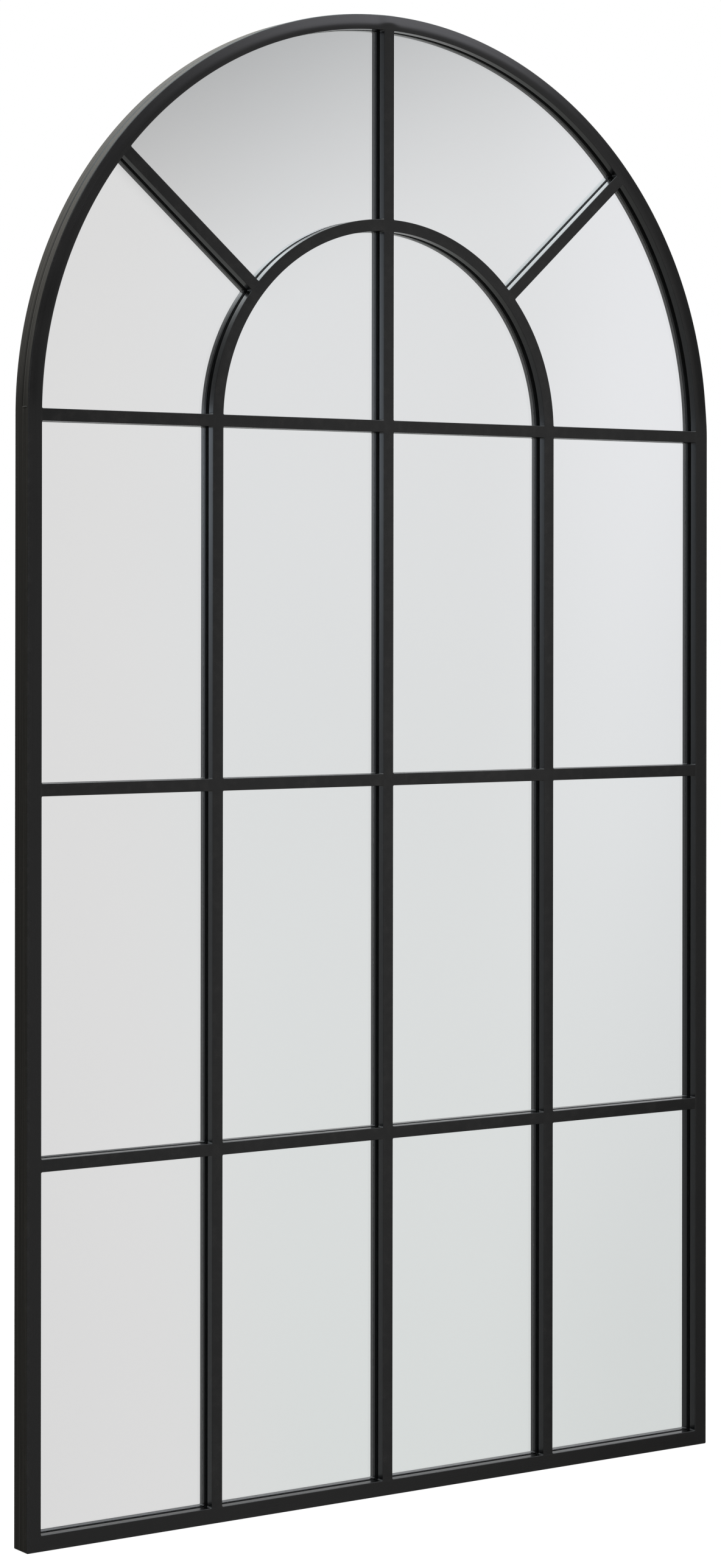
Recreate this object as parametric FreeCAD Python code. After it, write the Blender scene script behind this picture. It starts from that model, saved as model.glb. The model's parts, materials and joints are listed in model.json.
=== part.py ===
import FreeCAD, Part
import math
import os

# Arched wall mirror behind a welded steel window grille, in millimetres.
# X runs to the right as seen from the front, Z runs up and Y runs back to the wall.
# The origin is the middle of the bottom edge, on the wall plane.
# A depth is measured back from the front face of the bars.

# Outline of the mirror
overall_width = 1000.0
overall_height = 1800.0
outer_corner_radius = 1.5

# Front grille of flat bars, welded and ground flush
frame_face = 18.5
muntin_face = 14.5
bar_depth = 10.0
column_count = 4
row_count = 3
spoke_angles = (0.0, 42.2, 90.0, 140.0, 180.0)
weld_radius = 3.0
weld_toe = 0.15
edge_radius = 0.8
lap_share = 0.5

# Rear rim of thin flat bar, and the bevels of the seam between rim and grille
rim_wall = 3.0
arch_seam_bevel = 1.2
straight_seam_bevel = 0.4

# Layers behind the grille
tape_thickness = 0.6
tape_setback = 1.0
glass_thickness = 5.0
foam_thickness = 1.4
board_thickness = 5.0

# Turn clips on screws in welded bosses, which hold the back board
screw_radius = 1.95
thread_clearance = 0.15
boss_wall = 1.4
boss_clearance = 0.75
clip_thickness = 1.5
clip_reach = 22.0
clip_clearance = 0.2
clip_pivot_clearance = 0.3
screw_tip_gap = 3.0
screw_head_height = 2.6
screw_head_round = 0.9
recess_depth = 1.3
recess_slot = 1.0
recess_length = 4.0
stile_clip_shares = (0.17, 0.5, 0.83)
bottom_clip_shares = (0.32, 0.68)
arch_clip_angles = (24.0, 66.0, 114.0, 156.0)

# Rubber blocks under and beside the glass
setting_block_length = 60.0
side_spacer_length = 40.0
setting_block_shares = (0.2, 0.8)
side_spacer_shares = (0.3, 0.7)

# Keyhole hanger plates
hanger_thickness = 2.0
hanger_room = 6.0
hanger_width = 38.0
hanger_height = 76.0
hanger_corner_radius = 5.0
keyhole_entry_radius = 5.5
keyhole_slot_radius = 3.0
keyhole_travel = 16.0
hanger_height_share = 0.92
keyhole_entry_share = 0.4

# Construction aids
overrun = 5.0
match_gap = 0.001

# Places worked out from the driving sizes
arch_radius = overall_width / 2
spring_height = overall_height - arch_radius
half_muntin = muntin_face / 2
column_clear = (overall_width - 2 * frame_face - (column_count - 1) * muntin_face) / column_count
column_pitch = column_clear + muntin_face
row_clear = (spring_height + half_muntin - frame_face - row_count * muntin_face) / row_count
row_pitch = row_clear + muntin_face
mullion_places = [(i - column_count / 2) * column_pitch for i in range(1, column_count)]
transom_places = [frame_face - half_muntin + i * row_pitch for i in range(1, row_count + 1)]
inner_arch_radius = column_pitch

boss_radius = screw_radius + thread_clearance + boss_wall
channel_width = 2 * (boss_radius + boss_clearance)
glass_inset = rim_wall + channel_width
boss_inset = rim_wall + channel_width / 2
glass_front = bar_depth + tape_thickness
foam_front = glass_front + glass_thickness
board_front = foam_front + foam_thickness
board_back = board_front + board_thickness
overall_depth = board_back + hanger_room + hanger_thickness


def point(x, z):
    """A point on the wall plane."""
    return FreeCAD.Vector(x, 0, z)


def polar(radius, angle):
    """A point on the wall plane, about the centre of the arches."""
    turn = math.radians(angle)
    return point(radius * math.cos(turn), spring_height + radius * math.sin(turn))


def line(start, end):
    """A straight edge."""
    return Part.LineSegment(start, end).toShape()


def arc(radius, start_angle, end_angle):
    """An edge on a circle about the centre of the arches."""
    middle = polar(radius, (start_angle + end_angle) / 2)
    return Part.Arc(polar(radius, start_angle), middle, polar(radius, end_angle)).toShape()


def polygon(corners):
    """The edges of a closed outline with straight sides."""
    return [line(a, b) for a, b in zip(corners, corners[1:] + corners[:1])]


def rectangle(left, right, low, high):
    """The edges of an upright rectangle."""
    return polygon([point(left, low), point(right, low), point(right, high), point(left, high)])


def prism(edges, front, back):
    """A solid with this outline between two depths."""
    face = Part.Face(Part.Wire(edges))
    face.translate(FreeCAD.Vector(0, front - overall_depth, 0))
    return face.extrude(FreeCAD.Vector(0, back - front, 0))


def rounded(solid, radius):
    """The solid with the edges that run from front to back rounded."""
    upright = [edge for edge in solid.Edges if edge.BoundBox.XLength + edge.BoundBox.ZLength < match_gap]
    return solid.makeFillet(radius, upright)


def through(edges):
    """A cutting prism that passes the front and the back of everything."""
    return prism(edges, -overrun, overall_depth + overrun)


def disc(x, z, radius, front, back):
    """A round bar that runs from front to back."""
    start = FreeCAD.Vector(x, front - overall_depth, z)
    return Part.makeCylinder(radius, back - front, start, FreeCAD.Vector(0, 1, 0))


def arched_outline(inset):
    """The outline of the mirror, drawn in by an inset all round."""
    side = overall_width / 2 - inset
    low_left = point(-side, inset)
    low_right = point(side, inset)
    return [
        line(low_left, low_right),
        line(low_right, point(side, spring_height)),
        arc(side, 0, 180),
        line(point(-side, spring_height), low_left),
    ]


def half_ring(inner, outer):
    """The outline of a half ring above the spring line."""
    return [
        arc(outer, 0, 180),
        line(polar(outer, 180), polar(inner, 180)),
        arc(inner, 180, 0),
        line(polar(inner, 0), polar(outer, 0)),
    ]


def ring_pane(start_angle, end_angle, grow):
    """The outline of a pane between the inner arch, the outer arch and two spokes."""
    half = half_muntin - grow
    inner = inner_arch_radius + half
    outer = arch_radius - frame_face + grow
    inner_step = math.degrees(math.asin(half / inner))
    outer_step = math.degrees(math.asin(half / outer))
    inner_ends = (start_angle + inner_step, end_angle - inner_step)
    outer_ends = (start_angle + outer_step, end_angle - outer_step)
    return [
        arc(outer, outer_ends[0], outer_ends[1]),
        line(polar(outer, outer_ends[1]), polar(inner, inner_ends[1])),
        arc(inner, inner_ends[1], inner_ends[0]),
        line(polar(inner, inner_ends[0]), polar(outer, outer_ends[0])),
    ]


def lunette_pane(start_angle, grow):
    """The outline of a quarter pane under the inner arch."""
    half = half_muntin - grow
    radius = inner_arch_radius - half
    step = math.degrees(math.asin(half / radius))
    ends = (start_angle + step, start_angle + 90 - step)
    corner = polar(math.hypot(half, half), start_angle + 45)
    return [
        arc(radius, ends[0], ends[1]),
        line(polar(radius, ends[1]), corner),
        line(corner, polar(radius, ends[0])),
    ]


def pane_outlines(grow):
    """The outlines of all panes, each grown on every side."""
    panes = []
    for row in range(row_count):
        low = frame_face + row * row_pitch
        for column in range(column_count):
            left = frame_face - overall_width / 2 + column * column_pitch
            right = left + column_clear
            panes.append(rectangle(left - grow, right + grow, low - grow, low + row_clear + grow))
    for start_angle in (0, 90):
        panes.append(lunette_pane(start_angle, grow))
    for start_angle, end_angle in zip(spoke_angles, spoke_angles[1:]):
        panes.append(ring_pane(start_angle, end_angle, grow))
    return panes


def frame_regions():
    """The four stretches of the outer frame, mitred at the bottom corners."""
    inset = frame_face + weld_toe
    side = overall_width / 2
    mitre = [point(-side - overrun, -overrun), point(inset - side, inset)]
    mirrored = [point(-corner.x, corner.z) for corner in mitre]
    left = mitre + [point(inset - side, spring_height), point(-side - overrun, spring_height)]
    right = [point(-corner.x, corner.z) for corner in left]
    return {
        "arch": through(half_ring(arch_radius - inset, arch_radius + overrun)),
        "left": through(polygon(left)),
        "right": through(polygon(right)),
        "bottom": through(polygon(mitre + mirrored[::-1])),
    }


def mullion_region(place, lap_plane):
    """The stretch of one upright bar, halved where other bars cross behind it."""
    half = half_muntin + weld_toe
    top = overall_height if place == 0 else transom_places[-1] + half
    region = through(rectangle(place - half, place + half, 0, top))
    for height in transom_places:
        crossing = rectangle(place - half, place + half, height - half, height + half)
        region = region.cut(prism(crossing, lap_plane, overall_depth + overrun))
    if place == 0:
        ring = half_ring(inner_arch_radius - half, inner_arch_radius + half)
        region = region.cut(prism(ring, lap_plane, overall_depth + overrun))
    return region


def spoke_region(angle):
    """The stretch of one slanting bar between the two arches."""
    half = half_muntin + weld_toe
    low = spring_height - half
    region = through(rectangle(inner_arch_radius, arch_radius, low, spring_height + half))
    region.rotate(polar(0, 0), FreeCAD.Vector(0, -1, 0), angle)
    return region


def bar_regions(lap_plane):
    """The stretches of the bars inside the outer frame, in the order in which they are taken."""
    half = half_muntin + weld_toe
    side = overall_width / 2
    regions = {}
    for name, place in zip(("mullion_left", "mullion_centre", "mullion_right"), mullion_places):
        regions[name] = mullion_region(place, lap_plane)
    for name, height in zip(("transom_lower", "transom_middle", "transom_upper"), transom_places):
        regions[name] = through(rectangle(-side, side, height - half, height + half))
    regions["inner_arch"] = through(half_ring(inner_arch_radius - half, inner_arch_radius + half))
    regions["radial_right"] = spoke_region(spoke_angles[1])
    regions["radial_left"] = spoke_region(spoke_angles[3])
    return regions


def divided(solid, regions):
    """The solid cut apart into named stretches, each without the stretches before it."""
    pieces = {}
    taken = []
    for name, region in regions.items():
        piece = solid.common(region)
        pieces[name] = piece.cut(taken) if taken else piece
        taken.append(region)
    return pieces


def seam_bevelled(solid, size):
    """A stretch of the outer frame with its outer edge at the seam bevelled."""
    seam = bar_depth - overall_depth
    outer = []
    for edge in solid.Edges:
        box = edge.BoundBox
        if max(abs(box.YMin - seam), abs(box.YMax - seam)) > match_gap:
            continue
        middle = edge.valueAt((edge.FirstParameter + edge.LastParameter) / 2)
        on_side = abs(abs(middle.x) - overall_width / 2) < match_gap
        on_foot = abs(middle.z) < match_gap
        from_centre = math.hypot(middle.x, middle.z - spring_height)
        on_arch = middle.z > spring_height and abs(from_centre - arch_radius) < match_gap
        if on_side or on_foot or on_arch:
            outer.append(edge)
    return solid.makeChamfer(size, outer)


def make_lattice(inset, grow, front, back):
    """A plate with the outline of the mirror and one opening per pane."""
    plate = prism(arched_outline(inset), front, back)
    return plate, [prism(edges, front - overrun, back + overrun) for edges in pane_outlines(grow)]


def make_grille():
    """The welded front grille, with welds in the pane corners and eased front edges."""
    plate, panes = make_lattice(0, 0, 0, bar_depth)
    grille = rounded(plate, outer_corner_radius).cut([rounded(pane, weld_radius) for pane in panes])
    front = -overall_depth
    eased = [edge for edge in grille.Edges if edge.BoundBox.YMax < front + match_gap]
    return grille.makeFillet(edge_radius, eased)


def make_bars():
    """The bars of the grille, and the welds in its corners."""
    grille = make_grille()
    regions = {**frame_regions(), **bar_regions(lap_share * bar_depth)}
    bars = divided(grille, regions)
    bars["arch_bar"] = seam_bevelled(bars.pop("arch"), arch_seam_bevel)
    bars["left_stile"] = seam_bevelled(bars.pop("left"), straight_seam_bevel)
    bars["right_stile"] = seam_bevelled(bars.pop("right"), straight_seam_bevel)
    bars["bottom_rail"] = seam_bevelled(bars.pop("bottom"), straight_seam_bevel)
    bars["corner_welds"] = grille.cut(list(regions.values()))
    return bars


def make_rims():
    """The rear rim, which stands flush behind the outer frame."""
    outside = rounded(prism(arched_outline(0), bar_depth, overall_depth), outer_corner_radius)
    rim = outside.cut(through(arched_outline(rim_wall)))
    pieces = divided(rim, frame_regions())
    rims = {"arch_rim": seam_bevelled(pieces["arch"], arch_seam_bevel)}
    for side in ("left", "right", "bottom"):
        rims[side + "_rim"] = seam_bevelled(pieces[side], straight_seam_bevel)
    return rims


def make_tape():
    """Thin strips of black tape between the bars and the glass."""
    plate, panes = make_lattice(glass_inset, tape_setback, bar_depth, glass_front)
    regions = {**frame_regions(), **bar_regions(glass_front + overrun)}
    return Part.makeCompound(list(divided(plate.cut(panes), regions).values()))


def clip_places():
    """Where the turn clips pivot, with the direction from there to the middle of the mirror."""
    side = overall_width / 2 - boss_inset
    places = []
    for share in stile_clip_shares:
        places.append((point(-side, share * spring_height), FreeCAD.Vector(1, 0, 0)))
    for angle in reversed(arch_clip_angles):
        places.append((polar(arch_radius - boss_inset, angle), point(0, spring_height) - polar(1, angle)))
    for share in reversed(stile_clip_shares):
        places.append((point(side, share * spring_height), FreeCAD.Vector(-1, 0, 0)))
    for share in reversed(bottom_clip_shares):
        places.append((point(share * overall_width - overall_width / 2, boss_inset), FreeCAD.Vector(0, 0, 1)))
    return places


def make_boss(place):
    """A threaded boss that stands on the back of a frame bar, beside the glass."""
    top = board_back + clip_clearance
    body = disc(place.x, place.z, boss_radius, bar_depth, top)
    return body.cut(disc(place.x, place.z, screw_radius + thread_clearance, bar_depth - overrun, top + overrun))


def make_clip(place, inward):
    """A flat clip with round ends, which turns on its screw to free the board."""
    front = board_back + clip_clearance
    back = front + clip_thickness
    tail = place + inward * clip_reach
    across = inward.cross(FreeCAD.Vector(0, 1, 0)) * boss_radius
    sides = polygon([place + across, tail + across, tail - across, place - across])
    blade = prism(sides, front, back)
    blade = blade.fuse([disc(end.x, end.z, boss_radius, front, back) for end in (place, tail)])
    hole = disc(place.x, place.z, screw_radius + clip_pivot_clearance, front - overrun, back + overrun)
    return blade.cut(hole).removeSplitter()


def make_screw(place):
    """A round-headed screw with a cross recess."""
    under_head = board_back + clip_thickness + 2 * clip_clearance
    top = under_head + screw_head_height
    head = disc(place.x, place.z, boss_radius, under_head, top)
    rim = [edge for edge in head.Edges if edge.BoundBox.YMin > top - overall_depth - match_gap]
    head = head.makeFillet(screw_head_round, rim)
    shank = disc(place.x, place.z, screw_radius, bar_depth + screw_tip_gap, under_head)
    half_slot = recess_slot / 2
    half_length = recess_length / 2
    for reach_x, reach_z in ((half_length, half_slot), (half_slot, half_length)):
        slot = rectangle(place.x - reach_x, place.x + reach_x, place.z - reach_z, place.z + reach_z)
        head = head.cut(prism(slot, top - recess_depth, top + overrun))
    return head.fuse(shank).removeSplitter()


def make_setting_blocks():
    """Rubber blocks on the bottom rim, which carry the glass and the board."""
    blocks = []
    for share in setting_block_shares:
        left = share * overall_width - overall_width / 2 - setting_block_length / 2
        outline = rectangle(left, left + setting_block_length, rim_wall, glass_inset)
        blocks.append(prism(outline, glass_front, board_back))
    return Part.makeCompound(blocks)


def make_side_spacers():
    """Rubber spacers that centre the glass between the side rims."""
    outer = overall_width / 2 - rim_wall
    inner = overall_width / 2 - glass_inset
    spacers = []
    for left, right in ((-outer, -inner), (inner, outer)):
        for share in side_spacer_shares:
            low = share * spring_height - side_spacer_length / 2
            outline = rectangle(left, right, low, low + side_spacer_length)
            spacers.append(prism(outline, glass_front, board_back))
    return Part.makeCompound(spacers)


def make_hanger(side):
    """A plate welded to a side rim, level with the wall, with a keyhole for a wall screw."""
    outer = side * (overall_width / 2 - rim_wall)
    inner = outer - side * hanger_width
    low = hanger_height_share * spring_height - hanger_height / 2
    front = overall_depth - hanger_thickness
    outline = rectangle(min(outer, inner), max(outer, inner), low, low + hanger_height)
    plate = prism(outline, front, overall_depth)
    free_corners = []
    for edge in plate.Edges:
        box = edge.BoundBox
        if box.XLength + box.ZLength < match_gap and abs(box.XMin - inner) < match_gap:
            free_corners.append(edge)
    plate = plate.makeFillet(hanger_corner_radius, free_corners)
    x = (outer + inner) / 2
    z = low + keyhole_entry_share * hanger_height
    slot_top = z + keyhole_travel
    slot = rectangle(x - keyhole_slot_radius, x + keyhole_slot_radius, z, slot_top)
    ends = (front - overrun, overall_depth + overrun)
    cutters = [disc(x, z, keyhole_entry_radius, ends[0], ends[1]), prism(slot, ends[0], ends[1])]
    cutters.append(disc(x, slot_top, keyhole_slot_radius, ends[0], ends[1]))
    return plate.cut(cutters)


def make_parts():
    """Every node of the mirror, by name."""
    parts = make_bars()
    parts.update(make_rims())
    sheet = arched_outline(glass_inset)
    parts["glazing_tape"] = make_tape()
    parts["mirror_glass"] = prism(sheet, glass_front, foam_front)
    parts["foam_sheet"] = prism(sheet, foam_front, board_front)
    parts["back_board"] = prism(sheet, board_front, board_back)
    parts["setting_blocks"] = make_setting_blocks()
    parts["side_spacers"] = make_side_spacers()
    places = clip_places()
    parts["clip_bosses"] = Part.makeCompound([make_boss(place) for place, inward in places])
    parts["clip_screws"] = Part.makeCompound([make_screw(place) for place, inward in places])
    for number, (place, inward) in enumerate(places, start=1):
        parts["turn_clip_%02d" % number] = make_clip(place, inward)
    parts["hanger_plate_left"] = make_hanger(-1)
    parts["hanger_plate_right"] = make_hanger(1)
    return parts


def main():
    """Write one file per node."""
    os.makedirs("parts", exist_ok=True)
    for name, shape in make_parts().items():
        solids = shape.Solids
        whole = solids[0] if len(solids) == 1 else Part.makeCompound(solids)
        whole.exportStep("parts/%s.step" % name)
        print(name, len(solids), whole.isValid(), round(whole.Volume))


main()
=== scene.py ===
import json
import math

import bmesh
import bpy
from bpy.props import FloatProperty, FloatVectorProperty, PointerProperty
from mathutils import Matrix, Vector


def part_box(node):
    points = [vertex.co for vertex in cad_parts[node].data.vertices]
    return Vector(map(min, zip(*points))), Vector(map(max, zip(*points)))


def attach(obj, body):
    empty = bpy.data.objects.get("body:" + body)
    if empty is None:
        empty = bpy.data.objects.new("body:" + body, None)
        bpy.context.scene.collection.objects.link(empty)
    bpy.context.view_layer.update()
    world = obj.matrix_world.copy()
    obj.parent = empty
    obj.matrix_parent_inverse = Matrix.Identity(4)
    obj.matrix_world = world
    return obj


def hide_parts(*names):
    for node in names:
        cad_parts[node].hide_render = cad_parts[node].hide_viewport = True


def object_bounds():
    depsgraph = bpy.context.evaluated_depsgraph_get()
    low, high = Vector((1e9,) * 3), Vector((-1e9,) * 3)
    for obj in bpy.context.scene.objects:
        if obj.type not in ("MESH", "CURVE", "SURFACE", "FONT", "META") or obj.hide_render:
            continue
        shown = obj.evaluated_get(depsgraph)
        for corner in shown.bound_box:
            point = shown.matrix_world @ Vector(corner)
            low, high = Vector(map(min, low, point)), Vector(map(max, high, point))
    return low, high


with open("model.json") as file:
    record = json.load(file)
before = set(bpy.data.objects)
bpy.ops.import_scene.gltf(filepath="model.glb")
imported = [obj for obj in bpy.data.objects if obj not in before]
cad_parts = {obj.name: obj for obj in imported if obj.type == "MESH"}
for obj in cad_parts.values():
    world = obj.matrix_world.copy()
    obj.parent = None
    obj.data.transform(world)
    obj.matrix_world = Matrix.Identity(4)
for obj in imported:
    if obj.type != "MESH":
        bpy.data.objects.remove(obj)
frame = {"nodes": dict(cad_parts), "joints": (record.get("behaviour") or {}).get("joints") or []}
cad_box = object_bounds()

bl_info = {
    "name": "Arched Window Mirror",
    "version": (1, 0, 0),
    "blender": (4, 5, 0),
    "location": "3D View > Sidebar > Mirror",
    "description": "Dresses an arched wall mirror behind a welded steel window grille",
    "category": "Object",
}


def middle(name):
    """The middle of a node's box."""
    low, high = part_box(name)
    return (low + high) / 2


# Places that the frame gives, in metres
front = cad_box[0].y
back = cad_box[1].y
arch_radius = cad_box[1].x
spring_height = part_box("left_stile")[1].z
arch_centre = Vector((0, 0, spring_height))
bar_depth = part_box("left_stile")[1].y - front
inner_radius = middle("mullion_right").x
mullions = [middle("mullion_" + place).x for place in ("left", "centre", "right")]
transoms = [middle("transom_" + place).z for place in ("lower", "middle", "upper")]
sheet_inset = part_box("mirror_glass")[0].z
outer_bars = ["left_stile", "right_stile", "bottom_rail", "arch_bar"]
glazing_bars = ["mullion_left", "mullion_centre", "mullion_right", "transom_lower", "transom_middle"]
glazing_bars += ["transom_upper", "inner_arch", "radial_left", "radial_right"]
rims = ["left_rim", "right_rim", "bottom_rim", "arch_rim"]
clips = sorted(name for name in frame["nodes"] if name.startswith("turn_clip"))
clip_pivots = {joint["child"]: Vector(joint["pos_m"]) for joint in frame["joints"]}

# How finely curves are divided
arc_segment = 0.006
corner_segments = 5
edge_segments = 3
outer_segments = 8
circle_segments = 32
sharp_angle = math.radians(48)

# The bent bar's face, in shares of its width from the outer edge: its loops, and where its lean starts and
# is full, first on the bar and then on the patch that is ground flatter at its top
face_loop_shares = (0.93, 0.85, 0.77, 0.69, 0.61, 0.53, 0.45, 0.37, 0.3)
lean_start_shares = (0.88, 0.55)
lean_full_shares = (0.46, 0.42)

# Angles up the arch, in degrees, between which things change
ground_patch = (88.3, 89.6)
low_lean_rise = (0, 6)
crown_lean_rise = (32, 88)
outer_edge_rise = (0, 4)
seam_rise = (0.4, 1.6)

# Shares that shape the lean low on the arch, the pane edges (rubbed, with a painted highlight), the seam,
# the welds and the screws
low_lean_share = 0.3
pane_wear_and_sheen_share = 0.6
stile_seam_share = 0.15
bead_ripple_share = 0.14
bead_ripples = 9
weld_ring_shares = ((1.0, 0.0), (0.8, 0.5), (0.0, 2.0))
head_curve_shares = ((0.0, 1.0), (0.2, 0.134), (0.5, 0.02), (1.0, 0.0))

# The studio round the mirror, by height from nought, straight down, to one, straight up
white = (1.0, 1.0, 1.0)
black = (0.0, 0.0, 0.0)
front_wall = {
    0.20: (0.60, 0.60, 0.58), 0.54: (0.62, 0.64, 0.68), 0.62: (0.33, 0.33, 0.34), 0.70: (0.38, 0.39, 0.40),
    0.80: (0.85, 0.87, 0.90), 0.86: (1.2, 1.3, 1.4), 0.93: (4.5, 5.2, 5.4),
}
rear_wall = {
    0.50: (0.17, 0.165, 0.145), 0.54: (0.27, 0.265, 0.24), 0.62: (0.58, 0.57, 0.53),
    0.72: (0.83, 0.81, 0.74), 0.75: (1.18, 1.14, 1.02), 0.86: (1.2, 1.3, 1.4), 0.93: (4.5, 5.2, 5.4),
}
wall_blend = (-0.15, 0.15)
front_half = (0.0, -0.3)

# Soft patches of its front wall: where each starts, is full from and to, and ends, sideways and upright
window_patch = ((-0.66, -0.46, -0.46, 0.30), (-0.03, 0.05, 0.05, 0.14))
window_tone = (2.85, 3.15, 3.6)
lamp_patch = ((-0.30, 0.14, 0.22, 0.56), (0.33, 0.60, 0.75, 0.90))
lamp_tone = (5.0, 5.2, 5.4)
glow_patch = ((0.28, 0.54, 0.62, 0.94), (0.12, 0.42, 0.62, 0.80))
glow_tone = (3.5, 3.5, 3.75)
dusk_patch = ((0.16, 0.30, 0.42, 0.50), (-0.10, 0.0, 0.13, 0.22))
dusk_tone = (0.20, 0.20, 0.20)

# The pale card on the right that the glass shows: its edges, its tones from near to far, and its shade
card_side = (0.40, 0.48)
card_top = (0.36, 0.26)
card_middle = (0.50, 0.545)
card_end = (0.585, 0.628)
card_rise = (-0.22, 0.06)
card_low_tones = ((0.809, 0.786, 0.794), (0.771, 0.781, 0.780))
card_high_tones = ((0.834, 0.810, 0.818), (0.818, 0.807, 0.825), (0.885, 0.871, 0.904))
shade_slope = (-30.4, 0.0, 57.3)
shade_depth = (-12.3, -3.8)
shade_spoke = (62.1, 0.0, 57.3)
shade_side = (37.9, 38.5)
shade_top = (0.21, 0.165)
shade_tone = (0.30, 0.30, 0.31)

# The strip of that card that the coat shows: its patch, how far its two sides lean, and its tones
strip_patch = ((0.445, 0.55, 0.60, 0.75), (-0.75, 0.04, 0.04, 0.4))
strip_lean = 0.13
strip_far_lean = 0.20
strip_far_side = (0.665, 0.615)
strip_tones = ((0.06, 0.06, 0.06), (1.10, 1.10, 1.10))

# Softboxes, which stand, point and spread in metres, and the floor
front_softbox = {"place": (0.95, -2.65, 3.75), "target": (0.0, front, 1.55), "spread": (2.6, 1.3)}
rear_softbox = {"place": (-0.4, 2.4, 3.6), "target": (0.0, back, 1.4), "spread": (2.4, 1.4)}
floor_reach = 9.0
floor_tones = ((0.70, 0.70, 0.69), (0.74, 0.74, 0.73))
floor_glow = (0.92, 0.92, 0.92)
floor_dimming_share = 0.7


def size(name, description, default):
    """A length that a user may change."""
    return FloatProperty(name=name, description=description, default=default, precision=5, unit="LENGTH")


def angle(name, description, default):
    """An angle that a user may change, given in degrees."""
    return FloatProperty(name=name, description=description, default=math.radians(default), subtype="ANGLE")


def share(name, description, default):
    """A share from nought to one that a user may change."""
    return FloatProperty(name=name, description=description, default=default, min=0, max=1, subtype="FACTOR")


def power(name, description, default):
    """The power of a lamp, which a user may change."""
    return FloatProperty(name=name, description=description, default=default, unit="POWER")


def colour(name, description, default):
    """A colour that a user may change."""
    return FloatVectorProperty(
        name=name, description=description, default=default, min=0, max=1, subtype="COLOR"
    )


class MirrorSizes(bpy.types.PropertyGroup):
    """Sizes of the pieces"""

    frame_face: size("Frame face", "Width of the outer bars seen from the front", 0.0185)
    bar_face: size("Glazing bar face", "Width of the inner bars seen from the front", 0.0145)
    right_spoke: angle("Right spoke", "Angle of the right slanting bar from level on the right", 42.2)
    left_spoke: angle("Left spoke", "Angle of the left slanting bar from level on the right", 140.0)
    edge_radius: size("Edge radius", "Rounding of the bars' front edges", 0.0005)
    arch_edge: size("Arch edge", "Rounding of the bent arch bar's outer edge", 0.0012)
    crown_tilt: angle("Crown tilt", "How far the face of the bent bar leans out at its top", 11.0)
    rear_ease: size("Rear ease", "Chamfer of rear edges, and of sheets, plates and fittings", 0.0003)
    weld_radius: size("Weld radius", "Rounding of the welded pane corners", 0.0014)
    corner_radius: size("Corner radius", "Rounding of the two bottom corners", 0.0015)
    seam_depth: size("Seam depth", "How far behind the face the seam of the frame lies", 0.013)
    seam_half: size("Seam half width", "Half the width of that seam along the arch", 0.0012)
    seam_sink: size("Seam sink", "How far that seam is sunk along the arch", 0.0012)
    lying_gap: size("Lying gap", "Hair's breadth between pieces that lie on one another", 0.00005)
    rim_wall: size("Rim wall", "Thickness of the rear rim", 0.003)
    bead_length: size("Bead length", "Length of the weld bead where the arch meets a stile", 0.011)
    bead_width: size("Bead width", "Width of that bead", 0.0028)
    bead_height: size("Bead height", "How far that bead stands proud", 0.0006)
    bead_depth: size("Bead depth", "How far behind the face the middle of that bead lies", 0.0085)
    bead_rise: size("Bead rise", "How far above the spring line that bead lies", 0.008)
    rubber_ease: size("Rubber ease", "Rounding of the rubber blocks and depth of their recess", 0.0007)
    rubber_border: size("Rubber border", "Border round the recess in a rubber block", 0.0018)
    block_length: size("Block length", "Length of a block under the glass", 0.060)
    spacer_length: size("Spacer length", "Length of a spacer beside the glass", 0.040)
    spacer_width: size("Spacer width", "Width of a spacer beside the glass", 0.0085)
    boss_radius: size("Boss radius", "Outer radius of the bosses, screw heads and clip ends", 0.0035)
    boss_hole: size("Boss hole", "Radius of the hole in a boss", 0.0021)
    boss_weld: size("Boss weld", "Width of the weld ring round the foot of a boss", 0.0005)
    screw_radius: size("Screw radius", "Radius of a screw's shank", 0.00195)
    head_height: size("Head height", "Height of a screw's head", 0.0026)
    head_round: size("Head rounding", "Rounding of a screw's head", 0.0009)
    recess_length: size("Recess length", "Length of the cross in a screw's head", 0.0036)
    recess_depth: size("Recess depth", "Depth of the cross in a screw's head", 0.0013)
    clip_reach: size("Clip reach", "Length of a clip between the middles of its round ends", 0.022)
    clip_hole: size("Clip hole", "Radius of the hole in a clip", 0.00225)
    hanger_corner: size("Hanger corner", "Rounding of a hanger plate's corners", 0.005)
    keyhole_height: size("Keyhole height", "Height of a keyhole's entry above the foot of its plate", 0.0304)
    entry_radius: size("Keyhole entry", "Radius of a keyhole's entry", 0.0055)
    slot_radius: size("Keyhole slot", "Half the width of a keyhole's slot", 0.003)
    slot_travel: size("Keyhole travel", "How far a hook slides up into a keyhole's slot", 0.016)


class MirrorFinish(bpy.types.PropertyGroup):
    """Colours and sheen of the finishes"""

    coat: colour("Coat", "Satin black powder coat", (0.0050, 0.0050, 0.0050))
    coat_light: colour("Thin coat", "Powder coat where it is thin", (0.0085, 0.0082, 0.0078))
    coat_roughness: share("Coat roughness", "Mean roughness of the powder coat", 0.21)
    coat_specular: share("Coat specular", "Strength of the powder coat's sheen", 0.33)
    silver: colour("Silver", "Silvering behind the glass", (0.90, 0.915, 0.91))
    glass: colour("Glass", "Tint of the float glass", (0.985, 0.995, 0.99))
    hardboard: colour("Hardboard", "Pressed fibre board", (0.29, 0.165, 0.085))
    hardboard_dark: colour("Dark fibre", "Darker fibres in the board", (0.14, 0.072, 0.034))
    foam: colour("Foam", "Closed-cell foam sheet", (0.74, 0.75, 0.76))
    rubber: colour("Rubber", "Black rubber blocks", (0.018, 0.018, 0.019))
    tape: colour("Tape", "Black foam tape", (0.009, 0.009, 0.009))
    zinc: colour("Zinc", "Bright zinc plating", (0.66, 0.67, 0.68))


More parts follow.
